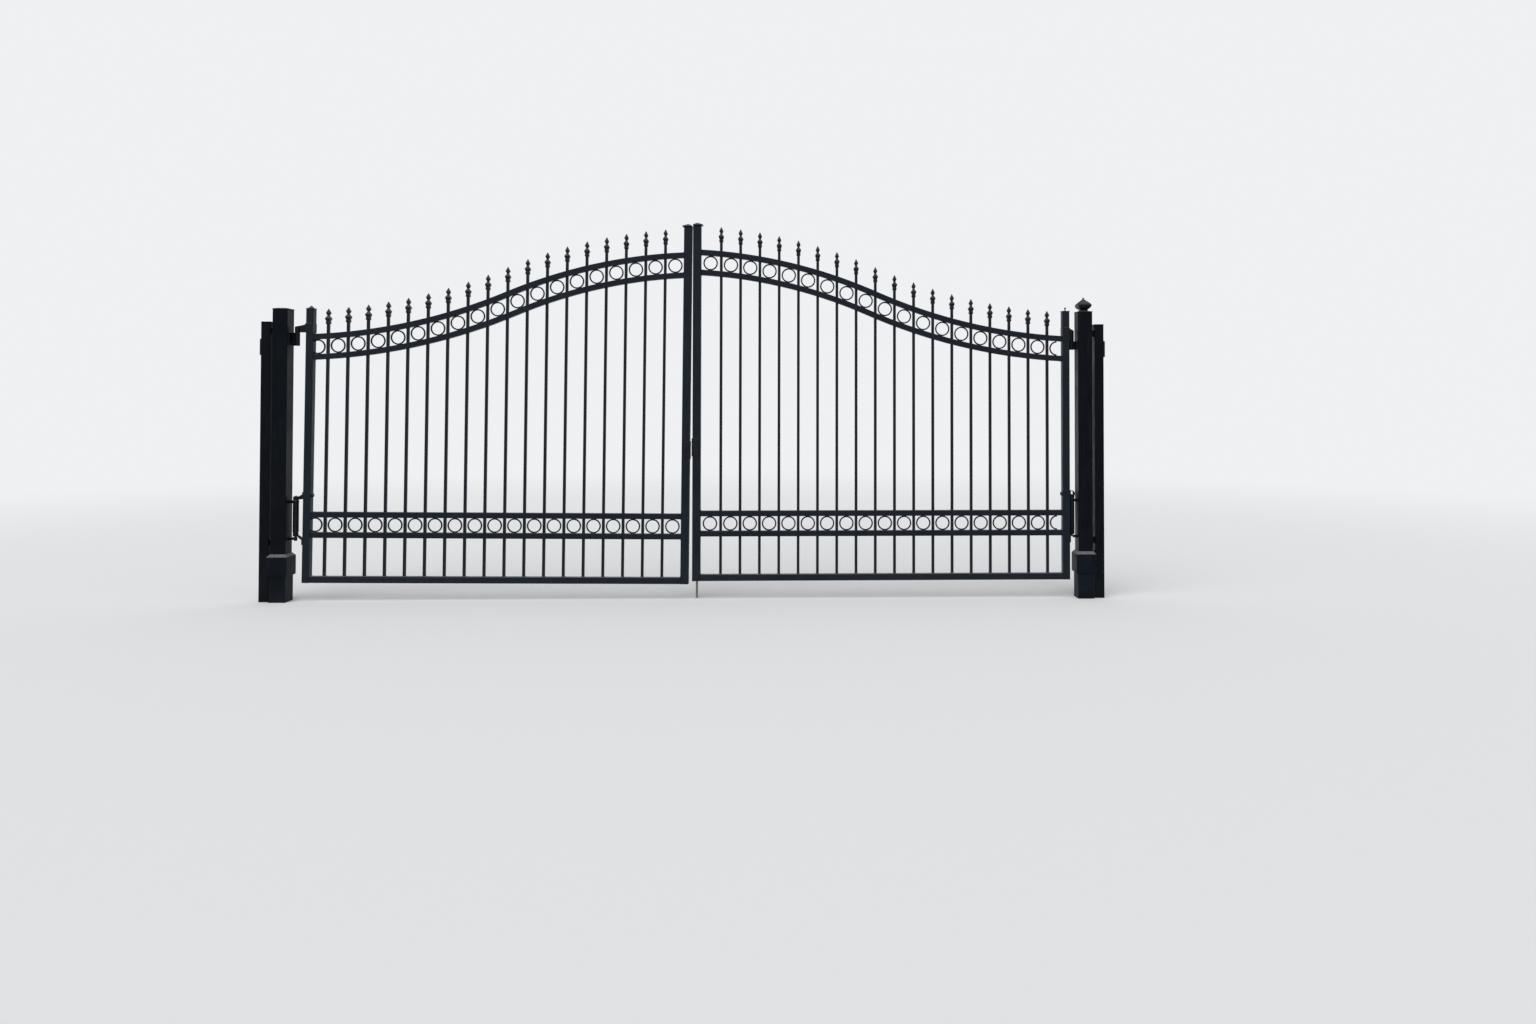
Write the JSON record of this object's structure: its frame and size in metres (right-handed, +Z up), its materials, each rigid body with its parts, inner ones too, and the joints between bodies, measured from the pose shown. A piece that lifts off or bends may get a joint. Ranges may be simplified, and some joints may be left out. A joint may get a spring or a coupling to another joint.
{
  "type": "double-leaf wrought iron driveway gate",
  "caption": "Double-leaf ornamental iron driveway gate with a bell-arched ring band, spear-topped pickets, square hinge posts and a drop rod.",
  "frame": {"origin": "centre of the left hinge post's closed flat foot, at ground level", "axes": "+X along the closed gate from the left post to the right post, +Y into the drive, the way the leaves open, +Z up"},
  "size_m": [5.8803, 0.2012, 2.634],
  "materials": {
    "frame_paint": "satin black paint",
    "post_paint": "satin black paint",
    "boot_paint": "satin black paint, dusty at the ground",
    "cast_points": "satin black paint over a casting",
    "fitting_paint": "satin black paint, rubbed at the moving faces",
    "rod_steel": "black paint worn to dull steel at the sliding end"
  },
  "bodies": {
    "drop_rod": {"drop_rod": "rod_steel"},
    "right_leaf": {"drop_rod_guides": "fitting_paint", "right_arch_rails": "frame_paint", "right_arch_rings": "frame_paint", "right_bottom_rail": "frame_paint", "right_closer_arm": "fitting_paint", "right_closer_foot_strap": "fitting_paint", "right_hinge_stile": "frame_paint", "right_latch_plate": "fitting_paint", "right_lower_rings": "frame_paint", "right_meeting_stile": "frame_paint", "right_pickets": "frame_paint", "right_ring_rails": "frame_paint", "right_spear_points": "cast_points", "right_stile_caps": "cast_points", "right_upper_hinge_strap": "fitting_paint"},
    "left_leaf": {"left_arch_rails": "frame_paint", "left_arch_rings": "frame_paint", "left_bottom_rail": "frame_paint", "left_closer_arm": "fitting_paint", "left_closer_foot_strap": "fitting_paint", "left_hinge_stile": "frame_paint", "left_latch_plate": "fitting_paint", "left_lower_rings": "frame_paint", "left_meeting_stile": "frame_paint", "left_pickets": "frame_paint", "left_ring_rails": "frame_paint", "left_spear_points": "cast_points", "left_stile_caps": "cast_points", "left_upper_hinge_strap": "fitting_paint"},
    "posts": {"left_closer_body": "fitting_paint", "left_hinge_barrel": "fitting_paint", "left_hinge_post": "post_paint", "left_jamb_cap": "post_paint", "left_jamb_post": "post_paint", "left_jamb_ties": "post_paint", "left_post_boot": "boot_paint", "left_post_cap": "post_paint", "left_wall_bracket": "post_paint", "right_closer_body": "fitting_paint", "right_hinge_barrel": "fitting_paint", "right_hinge_post": "post_paint", "right_jamb_cap": "post_paint", "right_jamb_post": "post_paint", "right_jamb_ties": "post_paint", "right_post_boot": "boot_paint", "right_post_cap": "post_paint", "right_post_finial": "cast_points", "right_wall_bracket": "post_paint"}
  },
  "joints": [
    {"name": "left_leaf_swing", "type": "hinge", "parent": "posts", "child": "left_leaf", "pos_m": [0.0888, 0.02, 0.7], "axis": [0, 0, 1], "range_deg": [0, 90]},
    {"name": "right_leaf_swing", "type": "hinge", "parent": "posts", "child": "right_leaf", "pos_m": [5.5029, 0.02, 0.7], "axis": [0, 0, -1], "range_deg": [0, 90]},
    {"name": "drop_rod_slide", "type": "slide", "parent": "right_leaf", "child": "drop_rod", "axis": [0, 0, 1], "range_m": [0, 0.12]}
  ]
}
